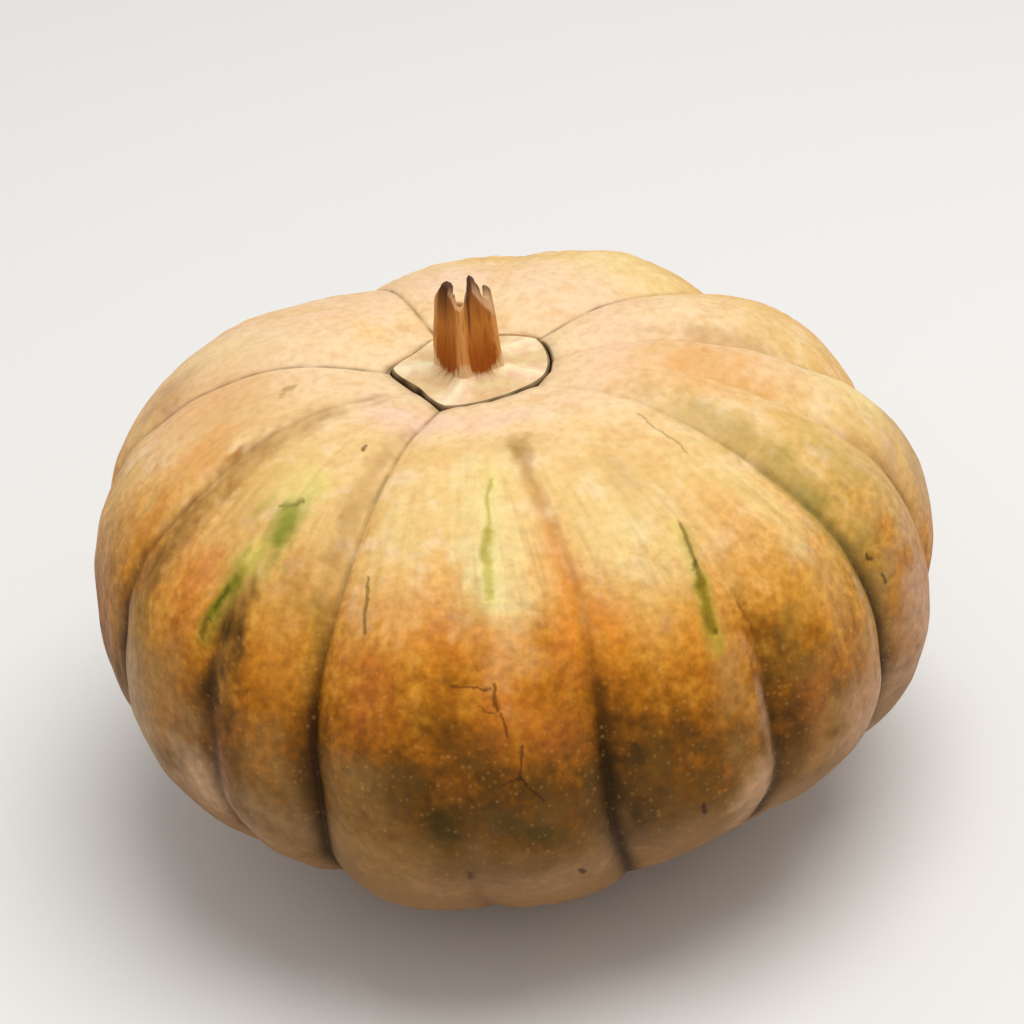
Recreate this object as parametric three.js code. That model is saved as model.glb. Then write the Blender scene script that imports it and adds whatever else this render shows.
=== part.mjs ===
import * as THREE from 'three';

// A ribbed pumpkin with its dried stem, in millimetres, +Z up, resting on its own flat spot at z = 0.
// Azimuth 0 is the front (-Y) and grows towards the right (+X). A fall of 0 degrees is the top of the
// body, 90 its widest ring and 180 its underside.

// The body before its lobes and grooves: two half profiles that meet at the widest ring.
const bodyRadius = 132;
const upperHeight = 82;
const lowerHeight = 86;
const upperFullness = 2.5;
const lowerFullness = 1.85;
const flatSpotCut = 8;
const flatSpotBlend = 3;

// The body grew a little askew: where its widest ring is centred, how far it leans from there to its
// underside, and how far the crown drifts besides.
const bodyCentre = [-3.7, 2];
const bodyLean = [-4, 4];
const crownDrift = [-3, 3];

// The hollow round the stem, and the blossom scar underneath, where the grooves fade out.
const cavityDepth = 12;
const cavityRadius = 40;
const scarDepth = 10;
const scarRadius = 17;
const scarFadeRadius = 60;

// The falls, in degrees, at which the values of a groove are given.
const angleFalls = [20, 90, 150];
const depthFalls = [18, 48, 90, 132, 162];
const swellFalls = [48, 90, 132];

// The grooves in their order round the fruit, each with the lobe that follows it.
// angle: azimuth in degrees at the crown, the widest ring and the base.
// blunt: small for a sharp crease, large for a soft hollow.
// depth: at the crown, shoulder, widest ring, haunch and base.
// swell: how far the lobe stands out at its shoulder, middle and haunch.
const grooves = [
  { angle: [-24, -28, -38], blunt: 0.75, depth: [2, 4, 6, 6, 3], swell: [2, 2, 4] },
  { angle: [-5, -8, -8], blunt: 1.6, depth: [0, 0, 0, 2, 3], swell: [3, 3, 0] },
  { angle: [14, 11, 18], blunt: 1.1, depth: [0, 2.5, 5, 5, 3], swell: [2, 2, -5] },
  { angle: [37, 35, 36], blunt: 1.2, depth: [0, 1, 3, 7, 4], swell: [2, 2, -4] },
  { angle: [57, 61, 64], blunt: 1, depth: [1, 3.5, 5, 5, 3], swell: [5, 4, 4] },
  { angle: [76, 82, 83], blunt: 1.1, depth: [0, 1, 3, 4, 3], swell: [6, 6.5, 6] },
  { angle: [95, 106, 108], blunt: 0.9, depth: [1, 3.5, 3.5, 5, 3], swell: [6, 6, 5] },
  { angle: [127, 140, 142], blunt: 0.75, depth: [2, 4, 5, 5, 3], swell: [6, 5, 5] },
  { angle: [168, 170, 170], blunt: 1.3, depth: [0, 1, 2, 4, 3], swell: [0, 0, 0] },
  { angle: [203, 206, 206], blunt: 0.8, depth: [2, 9, 7, 5, 3], swell: [-1, -1, 0] },
  { angle: [235, 237, 237], blunt: 1.4, depth: [0, 0, 2, 4, 3], swell: [2, -1, 1] },
  { angle: [262, 264, 264], blunt: 0.8, depth: [2, 3.5, 4.5, 5, 3], swell: [0, -0.5, 1] },
  { angle: [297, 291, 286], blunt: 1.2, depth: [1, 3.5, 5, 5, 3], swell: [1, 1, 2.5] },
  { angle: [319, 316, 313], blunt: 1.4, depth: [0, 1, 3, 4, 3], swell: [2, 2, 1] },
];

// The foot of the stem has five blunt corners, each with a ridge of the stem above it.
// reach: distance of the corner from the stem's axis. dip: how far the edge after it is drawn in.
// ridge: azimuth of the ridge.
const corners = [
  { angle: -99, reach: 24.5, dip: 5, ridge: -95 },
  { angle: -21, reach: 24, dip: 3, ridge: -12 },
  { angle: 72, reach: 24, dip: 0.6, ridge: 68 },
  { angle: 127, reach: 26.5, dip: 4, ridge: 130 },
  { angle: 203, reach: 24, dip: 3, ridge: 200 },
];

// The socket that holds the foot, and the crease that opens round it above the socket's wall.
const socketFloor = 145.5;
const socketWallTop = 148.5;
const socketGap = 0.4;
const creaseWidth = 2.2;
const creaseBend = 1.2;

// The stem's foot, a plate that flares out of the column.
const footBottom = socketFloor + socketGap;
const footEdge = 150.6;
const footRise = 2.5;
const footChamfer = 0.8;
const footInnerRing = 12;
const ribHeight = 0.9;

// The fluted column above the foot, and the hollow in its broken top.
const columnRadius = 10;
const columnTopRadius = 7.2;
const columnHeight = 31;
const columnLean = [0, 0.6];
const ridgeHeight = 2.6;
const ridgeSpread = 36;
const rimHeight = 20;
const pithHeight = 16;
const wallThickness = 2.4;
const tipRounding = 0.7;

// The prongs that stand up from the column's broken rim.
// spread: half of the angle a prong takes up. tip: its height above the foot.
const prongs = [
  { angle: -76, spread: 46, tip: 28.5 },
  { angle: 26, spread: 40, tip: 31 },
  { angle: 78, spread: 15, tip: 28 },
  { angle: 135, spread: 30, tip: 23 },
  { angle: 210, spread: 34, tip: 24.5 },
];

// How finely the solids are divided.
const bodyColumns = 130;
const bodyRings = 26;
const underRadii = [62, 52, 44, 37, 30, 23, 15, 8];
const stemColumns = 64;
const columnRings = 12;
const flareRings = 5;

const { clamp, degToRad, lerp, smoothstep } = THREE.MathUtils;

// A value that eases from each level to the next.
function eased(levels, values, at) {
  const place = clamp(at, levels[0], levels.at(-1));
  let step = 0;
  while (step < levels.length - 2 && place > levels[step + 1]) {
    step += 1;
  }
  return lerp(values[step], values[step + 1], smoothstep(place, levels[step], levels[step + 1]));
}

// The next item of a list that runs all the way round.
function following(list, index) {
  return list[(index + 1) % list.length];
}

// The turn from one azimuth forwards to another, and the smallest turn between two, in degrees.
function turnFrom(start, end) {
  return (((end - start) % 360) + 360) % 360;
}

function turnBetween(start, end) {
  const turn = turnFrom(start, end);
  return Math.min(turn, 360 - turn);
}

function pointAt(centre, azimuth, radius, level) {
  const turn = degToRad(azimuth);
  return new THREE.Vector3(centre.x + radius * Math.sin(turn), centre.y - radius * Math.cos(turn), level);
}

// One closed solid from rings of points, with a single point closing each end.
function closedSolid(name, material, firstPoint, rings, lastPoint) {
  const count = rings[0].length;
  const points = [firstPoint, ...rings.flat(), lastPoint];
  const last = points.length - 1;
  const faces = [];
  for (let column = 0; column < count; column += 1) {
    const next = (column + 1) % count;
    faces.push(0, 1 + column, 1 + next);
    for (let ring = 0; ring < rings.length - 1; ring += 1) {
      const above = 1 + ring * count;
      const below = above + count;
      faces.push(above + column, below + column, below + next);
      faces.push(above + column, below + next, above + next);
    }
    faces.push(last, last - count + next, last - count + column);
  }
  const geometry = new THREE.BufferGeometry().setFromPoints(points);
  geometry.setIndex(faces);
  geometry.computeVertexNormals();
  const mesh = new THREE.Mesh(geometry, material);
  mesh.name = name;
  return mesh;
}

// The outline of the stem's foot: blunt corners with drawn-in edges between them.
function footReach(azimuth) {
  for (let index = 0; index < corners.length; index += 1) {
    const corner = corners[index];
    const next = following(corners, index);
    const span = turnFrom(corner.angle, next.angle);
    const share = turnFrom(corner.angle, azimuth) / span;
    if (share < 1) {
      return lerp(corner.reach, next.reach, share) - corner.dip * Math.sin(Math.PI * share) ** 1.2;
    }
  }
  return corners[0].reach;
}

// The middle of the body at a level. The crown share is 1 at the top and 0 from the widest ring down.
function bodyMiddle(level, crownShare) {
  const rise = (level - lowerHeight) / lowerHeight;
  return new THREE.Vector2(
    bodyCentre[0] + bodyLean[0] * rise + crownDrift[0] * crownShare,
    bodyCentre[1] + bodyLean[1] * rise + crownDrift[1] * crownShare,
  );
}

// The azimuth at a share of the way across a lobe, which follows the wander of the grooves beside it.
function lobeAzimuth(index, share, fall) {
  const left = eased(angleFalls, grooves[index].angle, fall);
  const right = eased(angleFalls, following(grooves, index).angle, fall);
  return left + turnFrom(left, right) * share;
}

// How far the surface stands out from the plain profile: the lobe's swell less the cut of both grooves.
function lobeRelief(index, share, fall) {
  const left = grooves[index];
  const right = following(grooves, index);
  const across = (Math.PI * share) / 2;
  const swell = eased(swellFalls, left.swell, fall) * Math.sin(2 * across) * Math.sin(degToRad(fall));
  const leftCut = eased(depthFalls, left.depth, fall) * (1 - Math.sin(across) ** left.blunt);
  const rightCut = eased(depthFalls, right.depth, fall) * (1 - Math.cos(across) ** right.blunt);
  return swell - leftCut - rightCut;
}

// The fall at which the plain profile has a radius.
function fallAtRadius(radius, fullness) {
  return THREE.MathUtils.radToDeg(Math.asin((radius / bodyRadius) ** (fullness / 2)));
}

// A level cut flat at zero, with a soft bend into the cut.
function flattened(level) {
  if (level > flatSpotBlend) {
    return level;
  }
  return Math.max(level + flatSpotBlend, 0) ** 2 / (4 * flatSpotBlend);
}

// A point of the skin: a superellipse profile, moved along its normal by the relief, then hollowed at the
// crown and the scar by bell curves, cut flat underneath and shifted by the body's lean.
function skinPoint(index, share, fall) {
  const upper = fall < 90;
  const height = upper ? upperHeight : lowerHeight;
  const power = 2 / (upper ? upperFullness : lowerFullness);
  const across = Math.sin(degToRad(fall));
  const along = Math.cos(degToRad(fall));
  const plainRadius = bodyRadius * across ** power;
  const plainLevel = Math.sign(along) * height * Math.abs(along) ** power;
  const outward = new THREE.Vector2(across / bodyRadius, along / height).normalize();
  const fade = upper ? 1 : smoothstep(plainRadius, scarRadius, scarFadeRadius);
  const relief = lobeRelief(index, share, fall) * fade;
  const radius = plainRadius + outward.x * relief;
  const hollow = upper
    ? -cavityDepth * Math.exp(-((radius / cavityRadius) ** 2))
    : scarDepth * Math.exp(-((radius / scarRadius) ** 2));
  const level = flattened(lowerHeight - flatSpotCut + plainLevel + outward.y * relief + hollow);
  return pointAt(bodyMiddle(level, Math.max(along, 0) ** 2), lobeAzimuth(index, share, fall), radius, level);
}

const stemMiddle = bodyMiddle(footEdge, 1);

// The columns of the body: each lobe has a number that suits its width, so that every groove lies on one.
function bodyColumnPlaces() {
  const places = [];
  grooves.forEach((groove, index) => {
    const width = turnFrom(groove.angle[1], following(grooves, index).angle[1]);
    const count = Math.round((bodyColumns * width) / 360);
    for (let column = 0; column < count; column += 1) {
      places.push([index, column / count]);
    }
  });
  return places;
}

function makeFruit() {
  const places = bodyColumnPlaces();
  const crownFall = ([index, share]) => {
    const rim = footReach(lobeAzimuth(index, share, 0)) + creaseWidth;
    return fallAtRadius(rim, upperFullness);
  };
  const socketRing = (extra, level) => places.map(([index, share]) => {
    const azimuth = lobeAzimuth(index, share, 0);
    return pointAt(stemMiddle, azimuth, footReach(azimuth) + extra, level);
  });
  const underStart = 180 - fallAtRadius(underRadii[0], lowerFullness);
  const rings = [
    socketRing(-footInnerRing, socketFloor),
    socketRing(socketGap, socketFloor),
    socketRing(socketGap, socketWallTop),
    socketRing(creaseWidth / 2, socketWallTop + creaseBend),
  ];
  for (let ring = 0; ring < bodyRings; ring += 1) {
    rings.push(places.map(([index, share]) => {
      const fall = lerp(crownFall([index, share]), underStart, ring / bodyRings);
      return skinPoint(index, share, fall);
    }));
  }
  for (const radius of underRadii) {
    const fall = 180 - fallAtRadius(radius, lowerFullness);
    rings.push(places.map(([index, share]) => skinPoint(index, share, fall)));
  }
  const socketMiddle = new THREE.Vector3(stemMiddle.x, stemMiddle.y, socketFloor);
  const rind = new THREE.MeshStandardMaterial({ color: 0xd9a25c, roughness: 0.55, metalness: 0 });
  return closedSolid('fruit', rind, socketMiddle, rings, skinPoint(0, 0, 180));
}

// How near an azimuth is to a ridge of the stem: 1 on the ridge and 0 in the flutes beside it.
function ridgeShare(azimuth) {
  const nearest = Math.min(...corners.map((corner) => turnBetween(corner.ridge, azimuth)));
  return Math.max(0, 1 - nearest / ridgeSpread) ** 1.3;
}

// The broken rim of the column: a low wall from which the prongs rise in rounded peaks.
function rimTop(azimuth) {
  const peaks = prongs.map((prong) => {
    const away = turnBetween(prong.angle, azimuth) / prong.spread;
    return (prong.tip - rimHeight) * Math.max(0, 1 - away ** 2) ** 0.7;
  });
  return rimHeight + Math.max(...peaks);
}

// A point of the stem's column at a height above the foot. It narrows and leans as it rises.
function columnPoint(azimuth, height, inset) {
  const share = height / columnHeight;
  const radius = lerp(columnRadius, columnTopRadius, share) + ridgeHeight * (ridgeShare(azimuth) - 0.5);
  const middle = new THREE.Vector2(columnLean[0], columnLean[1]).multiplyScalar(share).add(stemMiddle);
  return pointAt(middle, azimuth, radius - inset, footEdge + footRise + height);
}

// A point of the flare between the foot's edge (share 1) and the column (share 0), with a rib on each ridge.
function flarePoint(azimuth, share) {
  const foot = columnPoint(azimuth, 0, 0);
  const edge = pointAt(stemMiddle, azimuth, footReach(azimuth) - footChamfer, footEdge + footChamfer / 2);
  const point = foot.clone().lerp(edge, share);
  const rib = ribHeight * ridgeShare(azimuth) * Math.sin(Math.PI * share);
  point.z = lerp(edge.z, foot.z, (1 - share) ** 2) + rib;
  return point;
}

function makeStem() {
  const azimuths = Array.from({ length: stemColumns }, (_, column) => (360 * column) / stemColumns);
  const ring = (place) => azimuths.map(place);
  const footRing = (inset, level) => ring((azimuth) => {
    return pointAt(stemMiddle, azimuth, footReach(azimuth) - inset, level);
  });
  const rings = [
    ring((azimuth) => columnPoint(azimuth, pithHeight, wallThickness * 1.6)),
    ring((azimuth) => columnPoint(azimuth, lerp(pithHeight, rimTop(azimuth), 0.5), wallThickness)),
    ring((azimuth) => columnPoint(azimuth, rimTop(azimuth) - tipRounding, wallThickness * 0.8)),
    ring((azimuth) => columnPoint(azimuth, rimTop(azimuth), wallThickness * 0.5)),
  ];
  for (let step = 0; step < columnRings; step += 1) {
    const share = 1 - step / columnRings;
    rings.push(ring((azimuth) => columnPoint(azimuth, (rimTop(azimuth) - tipRounding) * share, 0)));
  }
  for (let step = 0; step <= flareRings; step += 1) {
    rings.push(ring((azimuth) => flarePoint(azimuth, step / flareRings)));
  }
  rings.push(footRing(0, footEdge - footChamfer / 2));
  rings.push(footRing(0, footBottom + footChamfer));
  rings.push(footRing(footChamfer, footBottom));
  rings.push(footRing(footInnerRing, footBottom));
  const pith = columnPoint(0, pithHeight, 0).add(columnPoint(180, pithHeight, 0)).multiplyScalar(0.5);
  const bottom = new THREE.Vector3(stemMiddle.x, stemMiddle.y, footBottom);
  const bark = new THREE.MeshStandardMaterial({ color: 0xa5622a, roughness: 0.8, metalness: 0 });
  return closedSolid('stem', bark, pith, rings, bottom);
}

const pumpkin = new THREE.Group();
pumpkin.name = 'pumpkin';
pumpkin.add(makeFruit(), makeStem());

export default pumpkin;
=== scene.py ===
import bpy
import numpy as np
from math import cos, radians, sin
from mathutils import Matrix, Vector


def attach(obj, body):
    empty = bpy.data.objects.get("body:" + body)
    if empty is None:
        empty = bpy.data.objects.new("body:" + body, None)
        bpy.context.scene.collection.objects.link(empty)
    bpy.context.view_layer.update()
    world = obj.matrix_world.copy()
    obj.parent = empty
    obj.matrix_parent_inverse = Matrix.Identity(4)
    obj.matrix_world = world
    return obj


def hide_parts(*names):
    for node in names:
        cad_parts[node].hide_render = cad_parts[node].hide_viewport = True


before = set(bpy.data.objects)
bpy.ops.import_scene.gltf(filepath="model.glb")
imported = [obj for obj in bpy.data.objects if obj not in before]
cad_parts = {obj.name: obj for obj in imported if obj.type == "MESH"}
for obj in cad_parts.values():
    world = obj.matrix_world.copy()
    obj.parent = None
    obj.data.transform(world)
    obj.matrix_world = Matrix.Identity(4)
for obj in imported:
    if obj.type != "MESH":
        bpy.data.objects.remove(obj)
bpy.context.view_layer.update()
scene = bpy.context.scene
print("frame loaded")

# Lengths are in millimetres until a mesh is made. Azimuth 0 is the front (-Y) and grows towards +X.
# A fall of 0 degrees is the top of the body, 90 its widest ring and 180 its underside.
metresPerMillimetre = 0.001


def linear(hexColour):
    # sRGB hex to the linear values that the shaders work in, with an alpha of 1
    parts = np.array([int(hexColour[i:i + 2], 16) for i in (1, 3, 5)]) / 255
    low = parts / 12.92
    high = ((parts + 0.055) / 1.055) ** 2.4
    return (*np.where(parts <= 0.04045, low, high).tolist(), 1)


def addNode(tree, kind, settings=None, **links):
    # settings names properties of the node or numbers or names of inputs; links gives inputs their sources
    node = tree.nodes.new("ShaderNode" + kind)
    for key, value in (settings or {}).items():
        if key == "stops":
            ramp = node.color_ramp.elements
            while len(ramp) < len(value):
                ramp.new(0.5)
            for element, (place, colour) in zip(ramp, value):
                element.position = place
                element.color = linear(colour)
        elif key in ("From", "To"):
            for end, number in zip((" Min", " Max"), value):
                node.inputs[key + end].default_value = number
        elif isinstance(key, int) or key in node.inputs:
            node.inputs[key].default_value = value
        else:
            setattr(node, key, value)
    for key, source in links.items():
        name = int(key[5:]) if key.startswith("input") else key
        socket = source if isinstance(source, bpy.types.NodeSocket) else source.outputs[0]
        tree.links.new(socket, node.inputs[name])
    return node


def smoothStep(low, high, at):
    # eases from 0 at low to 1 at high along three times the share's square less twice its cube
    share = np.clip((at - low) / (high - low), 0, 1)
    return share * share * (3 - 2 * share)


def waves(points, length, seed, count=20):
    # a soft random swell, mostly from -1 to 1: the sum of cosine waves of about one length in all directions
    draw = np.random.default_rng(seed)
    direction = draw.normal(size=(3, count))
    direction /= np.linalg.norm(direction, axis=0)
    stretch = draw.uniform(0.8, 1.25, count)
    phase = draw.uniform(0, 2 * np.pi, count)
    return np.cos(points @ (direction * stretch) * (2 * np.pi / length) + phase).sum(-1) / np.sqrt(count)


def eased(levels, values, at):
    # eases from level to level; values has a row for each level and a column for each column of at
    levels = np.array(levels, float)
    place = np.clip(at, levels[0], levels[-1])
    step = np.clip(np.searchsorted(levels, place) - 1, 0, len(levels) - 2)
    share = smoothStep(levels[step], levels[step + 1], place)
    column = np.broadcast_to(np.arange(values.shape[1]), place.shape)
    return values[step, column] * (1 - share) + values[step + 1, column] * share


def turnBetween(start, end):
    # the smaller way round from one azimuth to another
    turn = (end - start) % 360
    return np.minimum(turn, 360 - turn)


def pointsAt(middleX, middleY, azimuth, radius, level):
    # points round an upright line: sideways by the sine of the azimuth, forwards by its cosine
    turn = np.radians(azimuth)
    return np.stack([middleX + radius * np.sin(turn), middleY - radius * np.cos(turn), level + 0 * turn], -1)


def withPoles(values, size):
    # a row for each point of a closed mesh, where each pole takes the values of the first or last point
    flat = values.reshape(-1, size)
    return np.concatenate([flat[:1], flat, flat[-1:]])


def mapSkin(mesh, skinMap):
    # skinMap holds place round, way down and length of a full turn; a face over the seam goes on past it
    onPoint = withPoles(skinMap, 3)
    corner = np.empty(len(mesh.loops), np.int32)
    mesh.loops.foreach_get("vertex_index", corner)
    place, turn = onPoint[corner, :2], onPoint[corner, 2]
    sizes = np.empty(len(mesh.polygons), np.int32)
    mesh.polygons.foreach_get("loop_total", sizes)
    face = np.repeat(np.arange(len(sizes)), sizes)
    highest = np.full(len(sizes), -np.inf)
    np.maximum.at(highest, face, place[:, 0])
    place[:, 0] += np.where(highest[face] - place[:, 0] > turn / 2, turn, 0)
    mesh.uv_layers.new(name="skin").data.foreach_set("uv", place.ravel().astype(np.float32))


def closedMesh(name, firstPoint, rings, lastPoint, attributes, skinMap=None):
    # rings (rings x columns x 3) run from the first pole to the last, each column round to the first again
    ringCount, columnCount = rings.shape[:2]
    points = np.concatenate([[firstPoint], rings.reshape(-1, 3), [lastPoint]]) * metresPerMillimetre
    ring, column = np.meshgrid(np.arange(ringCount - 1), np.arange(columnCount), indexing="ij")
    after = (column + 1) % columnCount
    above, below = 1 + ring * columnCount, 1 + (ring + 1) * columnCount
    quads = np.stack([above + column, below + column, below + after, above + after], -1).reshape(-1, 4)
    around = np.arange(columnCount)
    onwards = (around + 1) % columnCount
    base = 1 + (ringCount - 1) * columnCount
    firstFan = np.stack([np.zeros_like(around), 1 + around, 1 + onwards], -1)
    lastFan = np.stack([np.full_like(around, len(points) - 1), base + onwards, base + around], -1)
    mesh = bpy.data.meshes.new(name)
    mesh.from_pydata(points.tolist(), [], firstFan.tolist() + quads.tolist() + lastFan.tolist())
    mesh.update()
    for key, values in attributes.items():
        kind, field, size = ("FLOAT_VECTOR", "vector", 3) if values.ndim == 3 else ("FLOAT", "value", 1)
        flat = withPoles(values, size).ravel().astype(np.float32)
        mesh.attributes.new(key, kind, "POINT").data.foreach_set(field, flat)
    if skinMap is not None:
        mapSkin(mesh, skinMap)
    mesh.polygons.foreach_set("use_smooth", np.ones(len(mesh.polygons), bool))
    piece = bpy.data.objects.new(name, mesh)
    scene.collection.objects.link(piece)
    return piece


# The stem's foot, whose outline the fruit's socket follows.
foot = {
    "cornerAngle": (-99, -21, 72, 127, 203),
    "cornerReach": (24.5, 24, 24, 26.5, 24),
    "edgeDip": (5, 3, 0.6, 4, 3),  # how far the edge after each corner is drawn in
    "dipPower": 1.2,
    "ridgeAngle": (-95, -12, 68, 130, 200),
    "bottom": 145.9,
    "edge": 150.6,
    "rise": 2.5,
    "chamfer": 0.8,
    "chamferRings": 6,
    "innerRing": 12,
    "ribHeight": 0.9,
    "ribSpread": 24,  # degrees from a buttress to the hollow beside it
}


def footReach(azimuth):
    # straight from corner to corner, less a sine dip raised to a power
    angles = np.array(foot["cornerAngle"], float)
    reach, dip = np.array(foot["cornerReach"]), np.array(foot["edgeDip"])
    past = (azimuth[..., None] - angles) % 360
    corner = past.argmin(-1)
    following = (corner + 1) % len(angles)
    share = past.min(-1) / ((angles[following] - angles[corner]) % 360)
    straight = reach[corner] * (1 - share) + reach[following] * share
    return straight - dip[corner] * np.sin(np.pi * np.clip(share, 0, 1)) ** foot["dipPower"]


# The fruit.
fruit = {
    "bodyRadius": 132,
    "upperHeight": 82,
    "lowerHeight": 86,
    "upperFullness": 2.5,
    "lowerFullness": 1.85,
    "flatSpotCut": 8,
    "flatSpotBlend": 3,
    "bodyCentre": (-3.7, 2),
    "bodyLean": (-4, 4),
    "crownDrift": (-3, 3),
    "cavityDepth": 12,
    "cavityRadius": 40,
    "scarDepth": 10,
    "scarRadius": 17,
    "scarFadeRadius": 60,
    "socketFloor": 145.5,
    "socketWallTop": 148.5,
    "socketGap": 0.4,
    "angleFalls": (20, 90, 150),  # falls at which a groove's azimuths are given
    "depthFalls": (18, 48, 90, 132, 162),
    "swellFalls": (48, 90, 132),
    "foldFalls": (20, 50, 80, 130, 160),
    "foldReach": (1.2, 5.2),  # how far a fold spreads, near the crown and on the flanks
    "foldSoftness": 0.3,  # rounds the bottom of a fold
    "foldShare": 0.8,
    "columns": 448,
    "crowding": 0.6,  # how much the columns crowd towards the grooves
    "skinRings": 196,
    "ringCrowding": 0.97,
    "lastFall": 178.5,
    "lipRings": 8,
    "inset": 0.5,  # keeps the swells of the rind inside its plain size
    "unevenness": 0.35,  # slow dents and swells of the rind
    "dentLengths": (46, 19),
    "ripple": 0.1,  # fine ripples that run from crown to base
    "rippleLengths": (5, 11),
    "flowRadius": 120,  # ripples and streaks are laid out on a drum of this radius,
    "flowStretch": 0.1,  # and so drawn out to ten times their width
}

# the open crease round the foot: azimuth and width in mm, widest at the right and nearly closed behind
creaseWidths = [
    (-150, 0.45), (-110, 0.47), (-97, 1.4), (-75, 1.8), (-45, 1.7), (-22, 2.0), (-10, 1.2), (12, 1.0),
    (35, 1.1), (52, 1.4), (62, 1.8), (74, 1.9), (84, 1.5), (95, 1.9), (108, 1.3), (122, 1.0), (131, 0.5),
    (170, 0.44),
]

# each groove from crown to base: its azimuths, its bluntness and the depth of its cut, then how far the lobe
# after it swells and how deep the fold along it is
grooveParts = ("angle", "blunt", "depth", "swell", "fold")
grooves = [dict(zip(grooveParts, groove)) for groove in (
    ((-24, -28, -38), 0.75, (2, 4, 6, 6, 3), (2, 2, 4), (0.9, 1.5, 3, 3, 0)),
    ((-5, -8, -8), 1.6, (0, 0, 0, 2, 3), (3, 3, 0), (0, 0, 0.6, 1, 0)),
    ((14, 11, 18), 1.1, (0, 2.5, 5, 5, 3), (2, 2, -5), (0, 0.3, 3.5, 3, 0)),
    ((37, 35, 36), 1.2, (0, 1, 3, 7, 4), (2, 2, -4), (0, 0.2, 2.5, 3, 0)),
    ((57, 61, 64), 1, (1, 3.5, 5, 5, 3), (5, 4, 4), (0.3, 1, 3, 3, 0)),
    ((76, 82, 83), 1.1, (0, 1, 3, 4, 3), (6, 6.5, 6), (0, 0.5, 2.5, 3, 0)),
    ((95, 106, 108), 0.9, (1, 3.5, 3.5, 5, 3), (6, 6, 5), (0.5, 1.5, 3, 3, 0)),
    ((127, 140, 142), 0.75, (2, 4, 5, 5, 3), (6, 5, 5), (0.9, 1.5, 3, 3, 0)),
    ((168, 170, 170), 1.3, (0, 1, 2, 4, 3), (0, 0, 0), (0, 0.5, 1.5, 2, 0)),
    ((203, 206, 206), 0.8, (2, 9, 7, 5, 3), (-1, -1, 0), (0.9, 2, 3, 3, 0)),
    ((235, 237, 237), 1.4, (0, 0, 2, 4, 3), (2, -1, 1), (0, 0.3, 1.5, 2, 0)),
    ((262, 264, 264), 0.8, (2, 3.5, 4.5, 5, 3), (0, -0.5, 1), (0.9, 1.5, 3, 3, 0)),
    ((297, 291, 286), 1.2, (1, 3.5, 5, 5, 3), (1, 1, 2.5), (0.3, 1, 3, 3, 0)),
    ((319, 316, 313), 1.4, (0, 1, 3, 4, 3), (2, 2, 1), (0, 0.4, 2.5, 3, 0)),
)]


def grooveTable(part, lobe):
    # a row for each level and a column for each lobe's groove
    return np.array([groove[part] for groove in grooves], float)[lobe % len(grooves)].T


def onEitherSide(part, lobe, fall):
    # the lobe's own groove and the next one, each eased from level to level
    return [eased(fruit[part + "Falls"], grooveTable(part, side), fall) for side in (lobe, lobe + 1)]


def bodyMiddle(level, crownShare):
    # the body leans with its level, and its crown drifts besides
    rise = (level - fruit["lowerHeight"]) / fruit["lowerHeight"]
    return [fruit["bodyCentre"][k] + fruit["bodyLean"][k] * rise + fruit["crownDrift"][k] * crownShare
            for k in (0, 1)]


stemMiddle = np.array(bodyMiddle(foot["edge"], 1))


def creaseWidth(azimuth):
    # straight from one listed width to the next
    return np.interp(azimuth, *zip(*creaseWidths), period=360)


def lobeColumns(count):
    # each lobe has columns in proportion to its width, so every groove lies on one
    middle = grooveTable("angle", np.arange(len(grooves)))[1]
    share = (np.roll(middle, -1) - middle) % 360 / 360
    each = np.round(share * count).astype(int)
    lobe = np.repeat(np.arange(len(grooves)), each)
    even = np.concatenate([np.arange(n) / n for n in each])
    return lobe, even - fruit["crowding"] * np.sin(2 * np.pi * even) / (2 * np.pi)


def lobeAzimuth(lobe, share, fall):
    # a share of the way from the lobe's groove to the next, each of which wanders as it comes down
    left, right = onEitherSide("angle", lobe, fall)
    return left + (right - left) % 360 * share


def lobeCuts(lobe, share, fall):
    # each groove's cut falls away from it as one less a sine raised to the groove's bluntness
    across = np.pi * share / 2
    left, right = onEitherSide("depth", lobe, fall)
    leftShare = 1 - np.sin(across) ** grooveTable("blunt", lobe)
    rightShare = 1 - np.cos(across) ** grooveTable("blunt", lobe + 1)
    return left * leftShare + right * rightShare


def plainProfile(fall):
    # a superellipse: the sine and cosine of the fall raised to two over the fullness
    height = np.where(fall < 90, fruit["upperHeight"], fruit["lowerHeight"])
    power = 2 / np.where(fall < 90, fruit["upperFullness"], fruit["lowerFullness"])
    across, along = np.sin(np.radians(fall)), np.cos(np.radians(fall))
    radius = fruit["bodyRadius"] * np.clip(across, 0, 1) ** power
    level = np.sign(along) * height * np.abs(along) ** power
    return radius, level, height, across, along


def widthAtFall(fall):
    # millimetres round the body for a degree of azimuth
    return radians(1) * plainProfile(fall)[0]


def grooveDistance(lobe, share, fall):
    # millimetres round the body to the groove on either side
    width = (lobeAzimuth(lobe + 1, 0, fall) - lobeAzimuth(lobe, 0, fall)) % 360 * widthAtFall(fall)
    return share * width, (1 - share) * width


def foldCuts(lobe, share, fall):
    # a tight fold along each groove: its depth dies away with distance, quicker near the crown
    left, right = grooveDistance(lobe, share, fall)
    crownReach, flankReach = fruit["foldReach"]
    reach = crownReach + (flankReach - crownReach) * smoothStep(25, 75, fall)
    leftDepth, rightDepth = onEitherSide("fold", lobe, fall)
    leftCut = leftDepth * np.exp(-np.hypot(left, fruit["foldSoftness"]) / reach)
    rightCut = rightDepth * np.exp(-np.hypot(right, fruit["foldSoftness"]) / reach)
    return (leftCut + rightCut) * fruit["foldShare"]


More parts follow.
